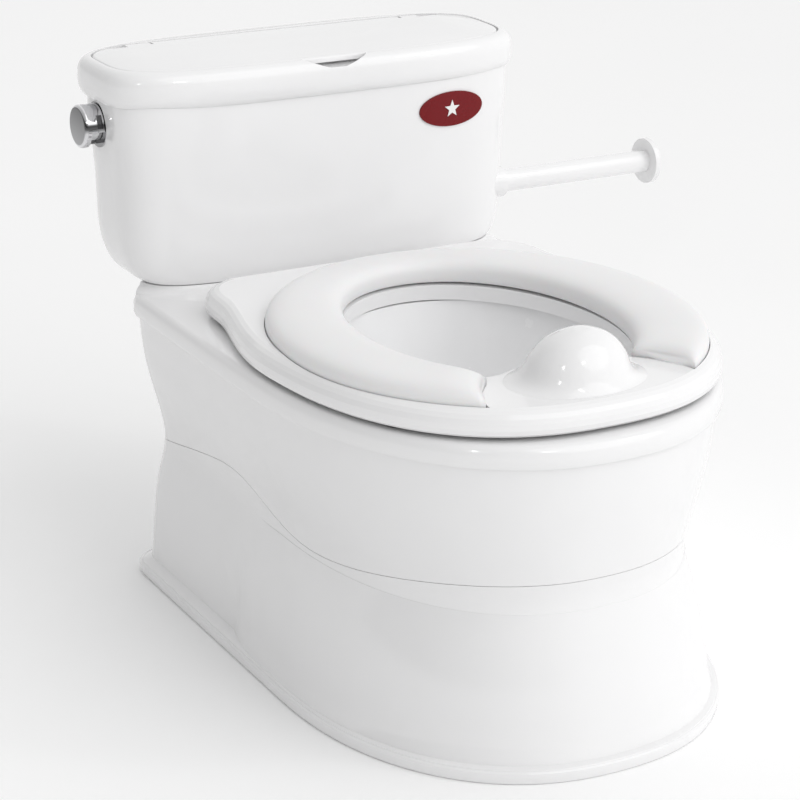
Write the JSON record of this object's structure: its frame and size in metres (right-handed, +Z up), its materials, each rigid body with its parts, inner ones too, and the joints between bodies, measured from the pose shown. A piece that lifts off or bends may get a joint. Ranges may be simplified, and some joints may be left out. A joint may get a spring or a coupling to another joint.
{
  "type": "potty training chair",
  "caption": "Child's potty chair shaped like a small toilet, with hinged padded seat, removable pot, tank with wipes flap, flush handle and paper holder.",
  "frame": {"origin": "middle plane of the bowl at floor level, on the underside of the bottom cover", "axes": "+Z up, -Y towards the front of the bowl where the child's legs go, +X towards the paper holder"},
  "size_m": [0.4336, 0.478, 0.356],
  "materials": {
    "white_shell": "injection-moulded white plastic, high gloss",
    "seat_white": "injection-moulded white plastic, high gloss",
    "pad_white": "soft white foam with a satin skin",
    "pot_white": "white plastic, gloss, wipe clean",
    "chrome_trim": "chrome-plated plastic",
    "steel": "zinc-plated steel",
    "grey_rubber": "matte thermoplastic rubber",
    "grey_plastic": "matte moulded plastic",
    "badge_red": "dark red gloss oval",
    "board_green": "printed circuit board",
    "cell_wrap": "printed metal cell case",
    "black_plastic": "matte black plastic"
  },
  "bodies": {
    "chair": {"base_shell": "white_shell", "body_shell": "white_shell", "bottom_cover": "grey_plastic", "foot_pads": "grey_rubber", "body_screws": "steel", "pot": "pot_white", "tank_shell": "white_shell", "tank_screws": "steel", "lid_frame": "white_shell", "wipe_tray": "pot_white", "lid_screws": "steel", "flap_hinge_pins": "steel", "seat_hinge_pins": "steel", "handle_bezel": "chrome_trim", "return_spring": "steel", "switch_body": "black_plastic", "holder_socket": "white_shell", "battery_box": "grey_plastic", "battery_cells": "cell_wrap", "battery_door": "white_shell", "door_screw": "steel", "sound_board": "board_green", "speaker": "black_plastic", "badge": "badge_red"},
    "seat": {"seat_ring": "seat_white", "seat_cushion": "pad_white", "seat_bumpers": "grey_rubber"},
    "flap": {"lid_flap": "white_shell"},
    "handle": {"flush_handle": "chrome_trim", "handle_crank": "black_plastic"},
    "plunger": {"switch_plunger": "grey_plastic"},
    "holder": {"paper_holder": "white_shell"}
  },
  "joints": [
    {"name": "seat_hinge", "type": "hinge", "parent": "chair", "child": "seat", "pos_m": [0, 0.056, 0.217], "axis": [-1, 0, 0], "range_deg": [0, 90]},
    {"name": "flap_hinge", "type": "hinge", "parent": "chair", "child": "flap", "pos_m": [0, 0.1825, 0.3534], "axis": [-1, 0, 0], "range_deg": [0, 95]},
    {"name": "handle_turn", "type": "hinge", "parent": "chair", "child": "handle", "pos_m": [-0.146, 0.1465, 0.314], "axis": [1, 0, 0], "range_deg": [0, 20], "stiffness_Nm_per_rad": 0.05},
    {"name": "plunger_press", "type": "slide", "parent": "chair", "child": "plunger", "axis": [0, 0, -1], "range_m": [0, 0.0055]},
    {"name": "holder_pull", "type": "slide", "parent": "chair", "child": "holder", "axis": [1, 0, 0], "range_m": [0, 0.03]}
  ],
  "couplings": [
    {"joint": "plunger_press", "follows": "handle_turn", "m_per_rad": 0.014}
  ]
}
